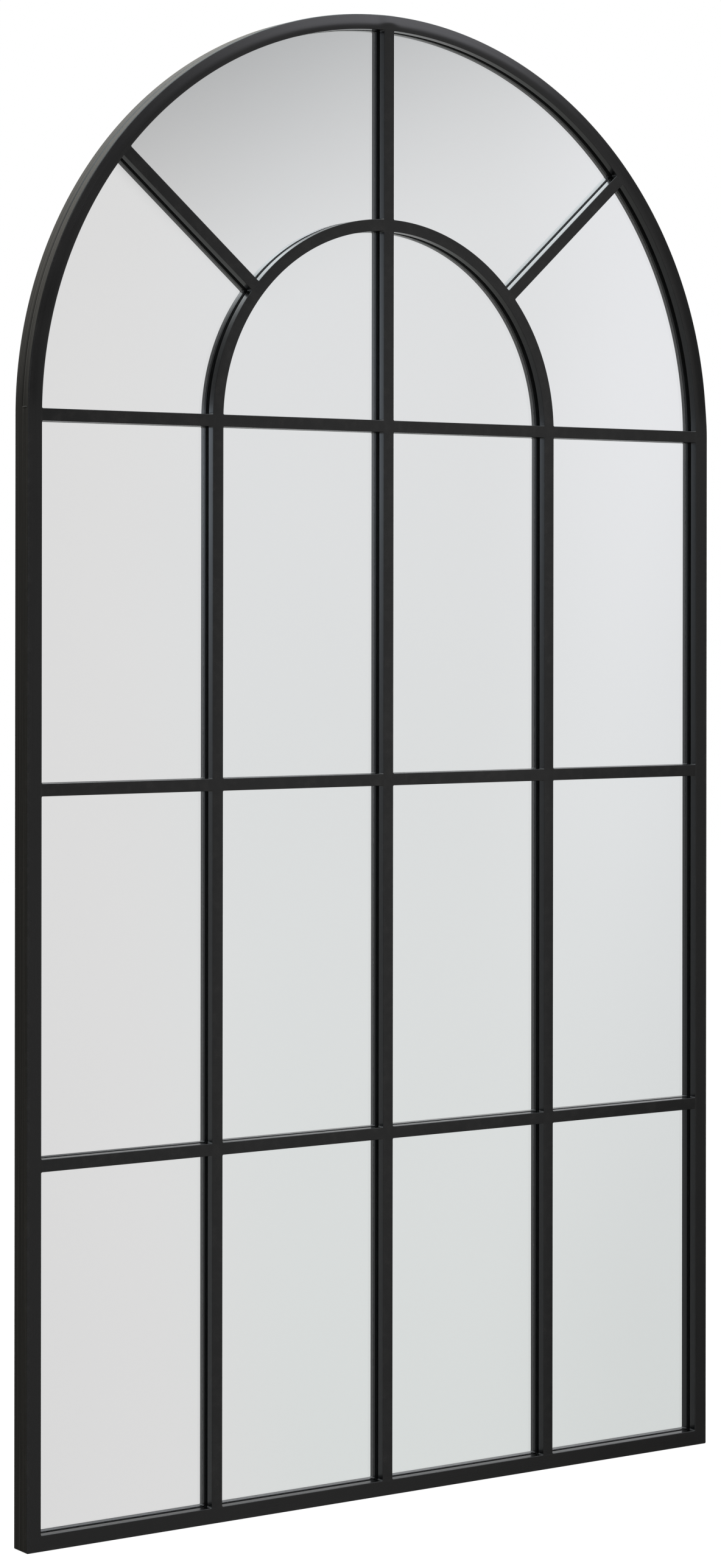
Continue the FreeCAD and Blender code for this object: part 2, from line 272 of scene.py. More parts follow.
class MirrorStudio(bpy.types.PropertyGroup):
    """Camera and lights"""

    lens: FloatProperty(name="Lens", description="Focal length", default=84.56, unit="CAMERA")
    camera_place: FloatVectorProperty(
        name="Camera", description="Where the camera stands", subtype="TRANSLATION",
        default=(-2.5503, -3.7124, 1.0790),
    )
    yaw: angle("Yaw", "Turn of the camera to the right of straight on", 34.267)
    roll: angle("Roll", "Roll of the camera", 0.068)
    rise: FloatProperty(name="Rise", description="Vertical shift of the picture", default=-0.1122)
    floor_height: size("Floor height", "Height of the floor under the bottom rail", 0.0)
    ambient: FloatProperty(name="Ambient", description="Light from all round", default=0.40)
    front_box: power("Front softbox", "Power of the upper front softbox", 48.0)
    rear_box: power("Rear softbox", "Power of the upper rear softbox", 60.0)


# Outlines, drawn on a plane that faces the viewer


def polar(radius, turn, y):
    """A point on a circle about the centre of the arches."""
    return Vector((radius * math.cos(turn), y, spring_height + radius * math.sin(turn)))


def steps_for(radius, turn):
    """How many segments an arc takes."""
    return max(4, math.ceil(radius * abs(turn) / arc_segment))


def arc_from(bm, vert, centre, turn, steps):
    """Spins a vertex into a run of edges, and gives the vertex at its end."""
    spun = bmesh.ops.spin(bm, geom=[vert], cent=centre, axis=(0, -1, 0), angle=turn, steps=steps)
    return next(item for item in spun["geom_last"] if isinstance(item, bmesh.types.BMVert))


def rounded(bm, geom, affect, radius, segments):
    """Rounds corners of a wire outline, or edges of a block."""
    bmesh.ops.bevel(
        bm, geom=geom, affect=affect, offset=radius, segments=segments, profile=0.5, material=-1
    )


def round_corners(bm, corners, radius):
    """Rounds corners of a wire outline."""
    rounded(bm, corners, "VERTICES", radius, corner_segments)


def drawn(bm, outline, *values):
    """The edges that an outline adds. It is drawn in a mesh of its own, which is quicker."""
    sketch = bmesh.new()
    outline(sketch, *values)
    mesh = bpy.data.meshes.new("sketch")
    sketch.to_mesh(mesh)
    sketch.free()
    before = set(bm.edges)
    bm.from_mesh(mesh)
    bpy.data.meshes.remove(mesh)
    return [edge for edge in bm.edges if edge not in before]


def verts_of(edges):
    """The vertices of some edges."""
    return list({vert for edge in edges for vert in edge.verts})


def arched_outline(bm, inset, corner_radius, y):
    """The outline of the mirror, drawn in by an inset."""
    side = arch_radius - inset
    right = bm.verts.new((side, y, spring_height))
    left = arc_from(bm, right, arch_centre, math.pi, steps_for(arch_radius, math.pi))
    foot_left = bm.verts.new((-side, y, inset))
    foot_right = bm.verts.new((side, y, inset))
    for start, end in ((left, foot_left), (foot_left, foot_right), (foot_right, right)):
        bm.edges.new((start, end))
    round_corners(bm, [foot_left, foot_right], max(corner_radius - inset, corner_radius / 4))


def square_outline(bm, left, right, low, high, radius, y):
    """A rectangle with rounded corners."""
    corners = [bm.verts.new((x, y, z)) for x, z in ((left, low), (right, low), (right, high), (left, high))]
    for start, end in zip(corners, corners[1:] + corners[:1]):
        bm.edges.new((start, end))
    round_corners(bm, corners, radius)


def ring_outline(bm, inner, outer, half, ends, radius, y):
    """A pane between two arches and two spokes, with rounded corners."""
    steps = steps_for(arch_radius, ends[1] - ends[0])
    corners = []
    for reach in (inner, outer):
        step = math.asin(half / reach)
        start = bm.verts.new(polar(reach, ends[0] + step, y))
        corners += [start, arc_from(bm, start, arch_centre, ends[1] - ends[0] - 2 * step, steps)]
    bm.edges.new((corners[0], corners[2]))
    bm.edges.new((corners[1], corners[3]))
    round_corners(bm, corners, radius)


def lunette_outline(bm, reach, half, start_turn, radius, y):
    """A quarter pane under the inner arch, with rounded corners."""
    step = math.asin(half / reach)
    sweep = math.pi / 2 - 2 * step
    start = bm.verts.new(polar(reach, start_turn + step, y))
    end = arc_from(bm, start, arch_centre, sweep, steps_for(inner_radius, math.pi / 2))
    corner = bm.verts.new(polar(math.hypot(half, half), start_turn + math.pi / 4, y))
    bm.edges.new((end, corner))
    bm.edges.new((corner, start))
    round_corners(bm, [start, end, corner], radius)


def circle_outline(bm, radius, y):
    """A circle about the axis of a fitting."""
    facing = Matrix.Translation((0, y, 0)) @ Matrix.Rotation(math.pi / 2, 4, "X")
    bmesh.ops.create_circle(bm, cap_ends=False, segments=circle_segments, radius=radius, matrix=facing)


def blade_outline(bm, half, reach, y):
    """A strip with round ends, one of them about the axis of its screw."""
    low = bm.verts.new((reach, y, -half))
    high = arc_from(bm, low, (reach, 0, 0), math.pi, circle_segments // 2)
    upper = bm.verts.new((0, y, half))
    lower = arc_from(bm, upper, (0, 0, 0), math.pi, circle_segments // 2)
    bm.edges.new((high, upper))
    bm.edges.new((lower, low))


def keyhole_outline(bm, place, entry, slot, travel, y):
    """A round hole at a place, with a narrower slot above it."""
    meet = math.acos(slot / entry)
    start = bm.verts.new((place.x - slot, y, place.z + entry * math.sin(meet)))
    end = arc_from(bm, start, place, math.pi + 2 * meet, circle_segments)
    right = bm.verts.new((place.x + slot, y, place.z + travel))
    left = arc_from(bm, right, place + Vector((0, 0, travel)), math.pi, circle_segments // 2)
    bm.edges.new((end, right))
    bm.edges.new((left, start))


def pane_outlines(sizes):
    """What draws each pane, given how far it is grown and its depth: the function and its values."""
    face, half, weld = sizes.frame_face, sizes.bar_face / 2, sizes.weld_radius
    columns = [-arch_radius + face - half, *mullions, arch_radius - face + half]
    rows = [face - half, *transoms]
    spokes = (0.0, sizes.right_spoke, math.pi / 2, sizes.left_spoke, math.pi)

    def squares(grow, y):
        edge = half - grow
        for low, high in zip(rows, rows[1:]):
            for left, right in zip(columns, columns[1:]):
                yield square_outline, (left + edge, right - edge, low + edge, high - edge, weld + grow, y)

    def lunettes(grow, y):
        for start in (0.0, math.pi / 2):
            yield lunette_outline, (inner_radius - half + grow, half - grow, start, weld + grow, y)

    def rings(grow, y):
        inner, outer = inner_radius + half - grow, arch_radius - face + grow
        for ends in zip(spokes, spokes[1:]):
            yield ring_outline, (inner, outer, half - grow, ends, weld + grow, y)

    return lambda grow, y: [*squares(grow, y), *lunettes(grow, y), *rings(grow, y)]


# Shaping


def risen(turn, low, high):
    """How far an angle up the arch has risen from one angle in degrees to another, with soft ends."""
    part = max(0.0, min(1.0, (math.degrees(turn) - low) / (high - low)))
    return part * part * (3 - 2 * part)


def between(ends, part):
    """A value part of the way from one end to the other."""
    return ends[0] + (ends[1] - ends[0]) * part


def skin(bm, loops):
    """Bridges loops in a row."""
    for near, far in zip(loops, loops[1:]):
        bmesh.ops.bridge_loops(bm, edges=near + far)


def outline_band(bm, sizes, places, closed=False):
    """A band round the mirror through a row of loops, bridged while they lie apart and then put in place.

    Each place gives a loop's inset and depth for an angle above the spring line."""
    loops = []
    for step, place in enumerate(places):
        loops.append(drawn(bm, arched_outline, place(0.0)[0], sizes.corner_radius, step * bar_depth))
    skin(bm, loops + loops[:closed])
    for loop, place in zip(loops, places):
        straight = place(0.0)[0]
        for vert in verts_of(loop):
            outwards = Vector((vert.co.x, 0, max(0.0, vert.co.z - spring_height))).normalized()
            inset, depth = place(math.asin(outwards.z))
            vert.co -= outwards * (inset - straight)
            vert.co.y = front + depth
    return loops


def fill(bm, loops):
    """A flat face inside the first loop, with the other loops as its holes."""
    edges = [edge for loop in loops for edge in loop]
    bmesh.ops.triangle_fill(bm, edges=edges, use_beauty=True)


def quarter_round(radius):
    """The steps of a rounded edge: how far in from the side, and how far back from the face."""
    turns = [math.pi / 2 * step / edge_segments for step in range(edge_segments + 1)]
    return [(radius * (1 - math.sin(turn)), radius * (1 - math.cos(turn))) for turn in turns]


def plate(bm, ease, low, high, outer, inner):
    """A plate between two depths with eased edges and one hole. Its outlines take an inset and a depth."""
    steps = ((ease, low), (0.0, low + ease), (0.0, high - ease), (ease, high))
    outside = [drawn(bm, *outer(inset, y)) for inset, y in steps]
    inside = [drawn(bm, *inner(inset, y)) for inset, y in steps]
    for end in (0, -1):
        fill(bm, [outside[end], inside[end]])
    skin(bm, outside)
    skin(bm, inside)


def turned(bm, section, closed):
    """A piece turned about the Y axis from a section of radii and depths."""
    corners = [bm.verts.new((radius, y, 0)) for radius, y in section]
    ends = corners[1:] + corners[:closed]
    edges = [bm.edges.new(pair) for pair in zip(corners, ends)]
    geom = corners + edges
    bmesh.ops.spin(bm, geom=geom, axis=(0, -1, 0), angle=2 * math.pi, steps=circle_segments, use_merge=True)


def at_pivots(build, *values):
    """A mesh with one copy of a fitting on the axis of each clip."""
    single = bmesh.new()
    build(single, *values)
    mesh = bpy.data.meshes.new("fitting")
    bm = bmesh.new()
    last = Vector()
    for pivot in clip_pivots.values():
        bmesh.ops.translate(single, verts=single.verts, vec=(pivot.x - last.x, 0, pivot.z - last.z))
        last = pivot
        single.to_mesh(mesh)
        bm.from_mesh(mesh)
    single.free()
    bpy.data.meshes.remove(mesh)
    return bm


def mark(bm, name, edges, amount):
    """Notes an amount on a loop's vertices, for the materials."""
    layer = bm.verts.layers.float[name]
    for vert in verts_of(edges):
        vert[layer] = amount


def new_coated():
    """An empty mesh for a coated piece, with its layers of rubbed edges that also carry a painted edge
    highlight, fine draw lines and grooves.
    """
    bm = bmesh.new()
    for name in ("wear_and_sheen", "streak", "groove"):
        bm.verts.layers.float.new(name)
    return bm


def unwrap_run(bm):
    """A map that runs along the outline of the mirror, in metres."""
    layer = bm.loops.layers.uv.new("run")
    for face in bm.faces:
        centre = face.calc_center_median()
        on_arch = centre.z > spring_height
        on_foot = centre.z < arch_radius - abs(centre.x)
        for corner in face.loops:
            spot = corner.vert.co
            above = spot.z - spring_height
            if on_arch:
                along = arch_radius * math.atan2(above, spot.x)
                inset = arch_radius - math.hypot(spot.x, above)
            elif on_foot:
                along, inset = spot.x - spring_height - arch_radius, spot.z
            else:
                along = above if spot.x > 0 else math.pi * arch_radius - above
                inset = arch_radius - abs(spot.x)
            corner[layer].uv = (along, spot.y - inset)


def add_piece(bm, name, materials, replaced=(), body="mirror"):
    """Makes a finished mesh a piece that rides on a body."""
    bmesh.ops.recalc_face_normals(bm, faces=bm.faces)
    for face in bm.faces:
        face.smooth = True
    for edge in bm.edges:
        edge.smooth = len(edge.link_faces) == 2 and edge.calc_face_angle() < sharp_angle
    mesh = bpy.data.meshes.new(name)
    bm.to_mesh(mesh)
    bm.free()
    for material in materials:
        mesh.materials.append(material)
    piece = bpy.data.objects.new(name, mesh)
    bpy.context.scene.collection.objects.link(piece)
    shading = piece.modifiers.new("even_shading", "WEIGHTED_NORMAL")
    shading.keep_sharp = True
    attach(piece, body)
    if replaced:
        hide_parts(*replaced)


# Materials


def node(tree, kind, inputs=(), **settings):
    """A shader node with its settings, and its inputs linked or set."""
    made = tree.nodes.new(kind)
    for key, value in settings.items():
        setattr(made, key, value)
    for key, value in dict(inputs).items():
        if isinstance(value, bpy.types.NodeSocket):
            tree.links.new(value, made.inputs[key])
        else:
            made.inputs[key].default_value = value
    return made


def new_material(name):
    """An empty material and its tree."""
    material = bpy.data.materials.new(name)
    material.use_nodes = True
    tree = material.node_tree
    tree.nodes.clear()
    return material, tree


def surface(tree, inputs):
    """Ends a material with a principled shader."""
    shader = node(tree, "ShaderNodeBsdfPrincipled", inputs)
    node(tree, "ShaderNodeOutputMaterial", {"Surface": shader.outputs["BSDF"]})


def object_coords(tree):
    """The piece's own coordinates, in metres."""
    return node(tree, "ShaderNodeTexCoord").outputs["Object"]


def marked(tree, name):
    """The amount that a piece's mesh notes under a name."""
    return node(tree, "ShaderNodeAttribute", attribute_name=name).outputs["Fac"]


def stretched(tree, vector, scale):
    """Coordinates scaled by a different amount each way."""
    return node(tree, "ShaderNodeMapping", {"Vector": vector, "Scale": scale}).outputs["Vector"]


def noise(tree, vector, scale, detail=3.0):
    """Cloudy noise from nought to one."""
    values = {"Vector": vector, "Scale": scale, "Detail": detail}
    return node(tree, "ShaderNodeTexNoise", values).outputs["Fac"]


def ranged(tree, value, low, high, to_low=0.0, to_high=1.0, **settings):
    """A value moved from one range to another."""
    values = {"Value": value, "From Min": low, "From Max": high, "To Min": to_low, "To Max": to_high}
    return node(tree, "ShaderNodeMapRange", values, **settings).outputs["Result"]


def eased(tree, value, low, high):
    """A value moved from a range to nought and one, with soft ends."""
    return ranged(tree, value, low, high, interpolation_type="SMOOTHSTEP")


def rgba(value):
    """A colour with full cover, or the socket that gives one."""
    return value if isinstance(value, bpy.types.NodeSocket) else (*value, 1.0)


def ramp(tree, value, stops):
    """A colour ramp through some stops."""
    made = node(tree, "ShaderNodeValToRGB", {"Fac": value})
    elements = made.color_ramp.elements
    while len(elements) < len(stops):
        elements.new(0.5)
    for element, (place, tone) in zip(elements, sorted(stops.items())):
        element.position = place
        element.color = rgba(tone)
    return made.outputs["Color"]


def mixed(tree, factor, first, second):
    """Two colours mixed by a factor."""
    values = {0: factor, 6: rgba(first), 7: rgba(second)}
    return node(tree, "ShaderNodeMix", values, data_type="RGBA").outputs[2]


def calculated(tree, operation, first, second):
    """Two values put together."""
    return node(tree, "ShaderNodeMath", {0: first, 1: second}, operation=operation).outputs["Value"]


def bumped(tree, height, strength, distance, below=None):
    """A normal bumped by a height."""
    values = {"Height": height, "Strength": strength, "Distance": distance}
    if below is not None:
        values["Normal"] = below
    return node(tree, "ShaderNodeBump", values).outputs["Normal"]


def coat_material(finish):
    """Satin black powder coat: orange peel, cloudy thickness, draw lines, grooves, and rubbed edges
    lightened partly as a painted highlight.
    """
    material, tree = new_material("satin_black_coat")
    place = object_coords(tree)
    run = node(tree, "ShaderNodeUVMap", uv_map="run").outputs["UV"]
    lines = noise(tree, stretched(tree, run, (4.0, 700.0, 1.0)), 1.0, 4.0)
    streaks = calculated(tree, "MULTIPLY", marked(tree, "streak"), lines)
    furrows = noise(tree, stretched(tree, run, (3.0, 260.0, 1.0)), 1.0, 4.0)
    grooves = calculated(tree, "MULTIPLY", marked(tree, "groove"), furrows)
    clouds = noise(tree, place, 14.0, 5.0)
    patches = ranged(tree, noise(tree, place, 90.0), 0.45, 0.75)
    # Marked edges are lighter in patches: rubbed coat, and partly a painted highlight along the rounded
    # edges
    rubbed_edges_and_sheen = calculated(tree, "MULTIPLY", marked(tree, "wear_and_sheen"), patches)
    thin = ranged(tree, calculated(tree, "ADD", clouds, streaks), 0.4, 1.1)
    body = mixed(tree, thin, finish.coat, finish.coat_light)
    mottle = calculated(tree, "ADD", ranged(tree, clouds, 0.3, 0.7, -0.02, 0.02), finish.coat_roughness)
    peeled = bumped(tree, noise(tree, place, 700.0, 2.0), 0.006, 0.0001)
    lined = bumped(tree, streaks, 0.10, 0.0002, peeled)
    surface(tree, {
        "Base Color": mixed(tree, rubbed_edges_and_sheen, body, Vector(finish.coat_light) * 2.0),
        "Roughness": calculated(tree, "ADD", mottle, ranged(tree, streaks, 0.3, 0.7, 0.0, 0.06)),
        "Specular IOR Level": finish.coat_specular,
        "Normal": bumped(tree, grooves, 1.0, 0.0007, lined),
    })
    return material


def glass_material(finish):
    """Clear float glass with a faint haze."""
    material, tree = new_material("float_glass")
    haze = noise(tree, object_coords(tree), 3.0, 6.0)
    surface(tree, {
        "Base Color": rgba(finish.glass),
        "Roughness": ranged(tree, haze, 0.4, 0.8, 0.0, 0.012),
        "Transmission Weight": 1.0,
        "IOR": 1.52,
    })
    return material


def silver_material(finish):
    """Silvering behind the glass, with a hint of tone over the sheet."""
    material, tree = new_material("silvering")
    tone = ranged(tree, noise(tree, object_coords(tree), 1.6, 2.0), 0.35, 0.65)
    silver = Vector(finish.silver)
    surface(tree, {
        "Base Color": mixed(tree, tone, silver * 0.985, silver),
        "Metallic": 1.0,
        "Roughness": 0.0,
    })
    return material


def board_material(finish):
    """Hardboard: short brown fibres matted every way, pressed to a hard, slightly waxed face."""
    material, tree = new_material("hardboard")
    place = object_coords(tree)
    fibre_size = (0.0009, 0.002, 0.008)
    matted = noise(tree, place, 450.0, 4.0)
    for turn in (12, 47, 83, 118, 155):
        values = {"Vector": place, "Rotation": (0.0, math.radians(turn), 0.0), "Scale": fibre_size}
        lying = node(tree, "ShaderNodeMapping", values, vector_type="TEXTURE").outputs["Vector"]
        fibres = ranged(tree, noise(tree, lying, 1.0), 0.52, 0.68, 0.0, 0.24)
        matted = calculated(tree, "ADD", matted, fibres)
    clouds = ranged(tree, noise(tree, place, 7.0, 6.0), 0.3, 0.7, -0.16, 0.16)
    tone = ranged(tree, calculated(tree, "ADD", matted, clouds), 0.35, 1.15)
    surface(tree, {
        "Base Color": mixed(tree, tone, finish.hardboard_dark, finish.hardboard),
        "Roughness": ranged(tree, matted, 0.4, 1.1, 0.46, 0.62),
        "Normal": bumped(tree, matted, 0.15, 0.0003),
    })
    return material


def foam_material(finish):
    """Closed-cell foam: small round cells."""
    material, tree = new_material("foam")
    values = {"Vector": object_coords(tree), "Scale": 900.0}
    cells = node(tree, "ShaderNodeTexVoronoi", values).outputs["Distance"]
    foam = Vector(finish.foam)
    surface(tree, {
        "Base Color": mixed(tree, ranged(tree, cells, 0.0, 0.7), foam * 0.86, foam),
        "Roughness": 0.8,
        "Normal": bumped(tree, cells, 0.3, 0.0004),
    })
    return material


def matt_material(name, base, scale, roughness):
    """A dull black rubber or tape, dusty in patches."""
    material, tree = new_material(name)
    place = object_coords(tree)
    dust = ranged(tree, noise(tree, place, scale / 12, 4.0), 0.45, 0.75)
    surface(tree, {
        "Base Color": mixed(tree, dust, base, Vector(base) * 1.9),
        "Roughness": ranged(tree, dust, 0.0, 1.0, roughness - 0.08, roughness + 0.08),
        "Normal": bumped(tree, noise(tree, place, scale), 0.2, 0.0003),
    })
    return material


def zinc_material(finish):
    """Bright zinc plating: a pale metal with faint spangle and rolling lines."""
    material, tree = new_material("zinc_plate")
    place = object_coords(tree)
    spangle = node(tree, "ShaderNodeTexVoronoi", {"Vector": place, "Scale": 420.0}).outputs["Color"]
    grey = node(tree, "ShaderNodeRGBToBW", {"Color": spangle}).outputs["Val"]
    lines = noise(tree, stretched(tree, place, (160.0, 160.0, 2600.0)), 1.0)
    zinc = Vector(finish.zinc)
    surface(tree, {
        "Base Color": mixed(tree, grey, zinc * 0.8, zinc),
        "Metallic": 1.0,
        "Roughness": ranged(tree, lines, 0.3, 0.7, 0.26, 0.42),
        "Normal": bumped(tree, lines, 0.08, 0.0002),
    })
    return material


def shared(name, make, *values):
    """A material that several pieces share, made once."""
    return bpy.data.materials.get(name) or make(*values)


def shared_coat(context):
    """The powder coat of the steel pieces."""
    return shared("satin_black_coat", coat_material, context.scene.mirror_finish)


def shared_zinc(context):
    """The plating of the clips and their screws."""
    return shared("zinc_plate", zinc_material, context.scene.mirror_finish)


# Operators, one for each piece or group of like pieces


class MIRROR_OT_grille(bpy.types.Operator):
    """Welded front grille: outer bars, glazing bars and the welds in the pane corners, ground flush"""

    bl_idname = "mirror.grille"
    bl_label = "Grille"

    def tilt(self, sizes, turn):
        """How far the face leans out at an angle up the arch."""
        low = low_lean_share * risen(turn, *low_lean_rise)
        return sizes.crown_tilt * (low + (1 - low_lean_share) * risen(turn, *crown_lean_rise))

    def crown(self, sizes, inset, turn):
        """How far the leaning face has fallen back at an inset from the outline."""
        ground = risen(turn, *ground_patch)
        flat = between(lean_start_shares, ground) * sizes.frame_face
        full = between(lean_full_shares, ground) * sizes.frame_face
        rolled = max(0.0, flat - max(inset, full)) ** 2 / (flat - full) / 2
        return math.tan(self.tilt(sizes, turn)) * (rolled + max(0.0, full - inset))

    def outer_places(self, sizes):
        """Insets and depths of the loops from the flat of the face, over its outer edge, to its back."""

        def on_face(part):
            inset = part * sizes.frame_face
            return lambda turn: (inset, self.crown(sizes, inset, turn))

        def on_edge(part):
            def place(turn):
                lean = self.tilt(sizes, turn)
                radius = between((sizes.edge_radius, sizes.arch_edge), risen(turn, *outer_edge_rise))
                bend = between((lean, math.pi / 2), part)
                start = self.crown(sizes, radius * (1 - math.sin(lean)), turn)
                return radius * (1 - math.sin(bend)), start + radius * (math.cos(lean) - math.cos(bend))

            return place

        places = [on_face(part) for part in face_loop_shares]
        places += [on_edge(step / outer_segments) for step in range(outer_segments + 1)]
        return places + [lambda turn: (0.0, bar_depth)]

    def execute(self, context):
        sizes = context.scene.mirror_sizes
        bm = new_coated()
        outer = outline_band(bm, sizes, self.outer_places(sizes))
        for loop in outer:
            mark(bm, "streak", loop, 1.0)
        for loop in outer[-3:]:
            mark(bm, "groove", loop, 1.0)
        # The rounded outer edge is marked for rubbed coat and a painted edge highlight
        for loop in outer[-outer_segments - 2:-1]:
            mark(bm, "wear_and_sheen", loop, 1.0)
        panes_at = pane_outlines(sizes)
        steps = quarter_round(sizes.edge_radius)
        steps += [(0, bar_depth - sizes.rear_ease), (sizes.rear_ease, bar_depth)]
        rings = []
        for grow, depth in steps:
            rings.append([drawn(bm, outline, *values) for outline, values in panes_at(grow, front + depth)])
        # The rounded pane edges are marked more faintly for rubbed coat and a painted edge highlight
        for ring in rings[:edge_segments + 1]:
            for loop in ring:
                mark(bm, "wear_and_sheen", loop, pane_wear_and_sheen_share)
        fill(bm, [outer[0], *rings[0]])
        fill(bm, [outer[-1], *rings[-1]])
        for loops in zip(*rings):
            skin(bm, loops)
        unwrap_run(bm)
        replaced = outer_bars + glazing_bars + ["corner_welds"]
        add_piece(bm, "grille", [shared_coat(context)], replaced)
        return {"FINISHED"}


class MIRROR_OT_rim(bpy.types.Operator):
    """Rear rim of thin flat bar, flush behind the outer bars, with a seam that shows along the arch"""

    bl_idname = "mirror.rim"
    bl_label = "Rear rim"

    def execute(self, context):
        sizes = context.scene.mirror_sizes
        ease, wall, depth = sizes.rear_ease, sizes.rim_wall, back - front

        def seam(side):
            def place(turn):
                part = between((stile_seam_share, 1.0), risen(turn, *seam_rise))
                sink = sizes.seam_sink if side == 0 else 0.0
                return sink * part, sizes.seam_depth + side * sizes.seam_half * part

            return place

        def fixed(inset, depth):
            return lambda turn: (inset, depth)

        places = [fixed(wall, bar_depth), fixed(0, bar_depth)]
        places += [seam(-1), seam(0), seam(1)]
        places += [fixed(0, depth - ease), fixed(ease, depth)]
        places += [fixed(wall - ease, depth), fixed(wall, depth - ease)]
        bm = new_coated()
        for loop in outline_band(bm, sizes, places, closed=True):
            mark(bm, "streak", loop, 1.0)
            mark(bm, "groove", loop, 1.0)
        unwrap_run(bm)
        add_piece(bm, "rim", [shared_coat(context)], rims)
        return {"FINISHED"}


class MIRROR_OT_beads(bpy.types.Operator):
    """Weld beads left on the outer side where the arch meets the stiles"""

    bl_idname = "mirror.beads"
    bl_label = "Weld beads"

    def execute(self, context):
        sizes = context.scene.mirror_sizes
        spread = (sizes.bead_height, sizes.bead_width / 2, sizes.bead_length / 2)
        rise = sizes.bead_rise / arch_radius
        bm = new_coated()
        for turn in (math.pi - rise, rise):
            before = set(bm.verts)
            bmesh.ops.create_uvsphere(bm, u_segments=20, v_segments=24, radius=1.0)
            made = [vert for vert in bm.verts if vert not in before]
            for vert in made:
                ripple = math.cos(bead_ripples * math.pi * vert.co.z) * (1 - vert.co.z ** 2)
                vert.co *= 1 + bead_ripple_share * ripple
            bmesh.ops.scale(bm, verts=made, vec=spread)
            bmesh.ops.rotate(bm, verts=made, matrix=Matrix.Rotation(math.pi / 2, 3, "X"))
            bmesh.ops.translate(bm, verts=made, vec=polar(arch_radius, turn, front + sizes.bead_depth))
        unwrap_run(bm)
        add_piece(bm, "weld_beads", [shared_coat(context)])
        return {"FINISHED"}


class MIRROR_OT_sheets(bpy.types.Operator):
    """Silvered glass, foam sheet and hardboard back, each a sheet with the outline of the mirror"""

    bl_idname = "mirror.sheets"
    bl_label = "Glass, foam and back board"

    def sheet(self, sizes, name):
        """A sheet between the front and the back of a node, with chamfered edges."""
        low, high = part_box(name)
        ease, near, far = sizes.rear_ease, low.y + sizes.lying_gap, high.y - sizes.lying_gap
        section = ((sheet_inset + ease, near), (sheet_inset, near + ease))
        section += ((sheet_inset, far - ease), (sheet_inset + ease, far))
        bm = bmesh.new()
        loops = [drawn(bm, arched_outline, inset, sizes.corner_radius, y) for inset, y in section]
        skin(bm, loops)
        for loop in (loops[0], loops[-1]):
            bmesh.ops.contextual_create(bm, geom=loop)
        return bm

    def execute(self, context):
        sizes, finish = context.scene.mirror_sizes, context.scene.mirror_finish
        glass = self.sheet(sizes, "mirror_glass")
        bmesh.ops.recalc_face_normals(glass, faces=glass.faces)
        for face in glass.faces:
            face.material_index = int(face.normal.y > 0.9)
        clear = shared("float_glass", glass_material, finish)
        silver = shared("silvering", silver_material, finish)
        add_piece(glass, "silvered_glass", [clear, silver], ["mirror_glass"])
        foam = shared("foam", foam_material, finish)
        add_piece(self.sheet(sizes, "foam_sheet"), "foam_backing", [foam], ["foam_sheet"])
        board = shared("hardboard", board_material, finish)
        add_piece(self.sheet(sizes, "back_board"), "hardboard_back", [board], ["back_board"])
        return {"FINISHED"}


class MIRROR_OT_tape(bpy.types.Operator):
    """Finish of the black tape, which keeps the shape it has in the frame"""

    bl_idname = "mirror.tape"
    bl_label = "Glazing tape"

    def execute(self, context):
        tone = context.scene.mirror_finish.tape
        mesh = frame["nodes"]["glazing_tape"].data
        mesh.materials.clear()
        mesh.materials.append(shared("foam_tape", matt_material, "foam_tape", tone, 800.0, 0.85))
        return {"FINISHED"}


class MIRROR_OT_rubbers(bpy.types.Operator):
    """Moulded rubber blocks under the glass and beside it"""

    bl_idname = "mirror.rubbers"
    bl_label = "Rubber blocks"

    def block(self, bm, sizes, low, high):
        """A block with rounded edges and a shallow recess in its two broad faces."""
        ease, centre = sizes.rubber_ease, (low + high) / 2
        before = set(bm.faces)
        bmesh.ops.create_cube(bm, size=1.0, matrix=Matrix.LocRotScale(centre, None, high - low))
        faces = [face for face in bm.faces if face not in before]
        broad = [face for face in faces if abs(face.calc_center_median().y - centre.y) > ease]
        edges = list({edge for face in faces for edge in face.edges})
        bmesh.ops.inset_individual(bm, faces=broad, thickness=sizes.rubber_border, depth=-ease)
        rounded(bm, edges, "EDGES", ease, edge_segments)

    def execute(self, context):
        sizes, finish = context.scene.mirror_sizes, context.scene.mirror_finish
        rubber = shared("rubber", matt_material, "rubber", finish.rubber, 500.0, 0.6)
        length, width, height = sizes.block_length, sizes.spacer_width, sizes.spacer_length
        low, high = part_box("setting_blocks")
        bm = bmesh.new()
        for left, right in ((low.x, low.x + length), (high.x - length, high.x)):
            self.block(bm, sizes, Vector((left, low.y, low.z)), Vector((right, high.y, high.z)))
        add_piece(bm, "glass_blocks", [rubber], ["setting_blocks"])
        low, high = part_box("side_spacers")
        bm = bmesh.new()
        for left, right in ((low.x, low.x + width), (high.x - width, high.x)):
            for foot in (low.z, high.z - height):
                self.block(bm, sizes, Vector((left, low.y, foot)), Vector((right, high.y, foot + height)))
        add_piece(bm, "glass_spacers", [rubber], ["side_spacers"])
        return {"FINISHED"}


class MIRROR_OT_bosses(bpy.types.Operator):
    """Threaded bosses, each with a weld ring where it stands on a bar"""

    bl_idname = "mirror.bosses"
    bl_label = "Clip bosses"

    def boss(self, bm, sizes, low, high):
        """One boss on the Y axis."""
        outer, hole, ring, ease = sizes.boss_radius, sizes.boss_hole, sizes.boss_weld, sizes.rear_ease
        section = [(hole, low)]
        section += [(outer + ring * out, low + ring * up) for out, up in weld_ring_shares]
        section += [(outer, high - ease), (outer - ease, high), (hole + ease, high), (hole, high - ease)]
        turned(bm, section, closed=True)

    def execute(self, context):
        low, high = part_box("clip_bosses")
        bm = at_pivots(self.boss, context.scene.mirror_sizes, low.y, high.y)
        add_piece(bm, "threaded_bosses", [shared_coat(context)], ["clip_bosses"])
        return {"FINISHED"}


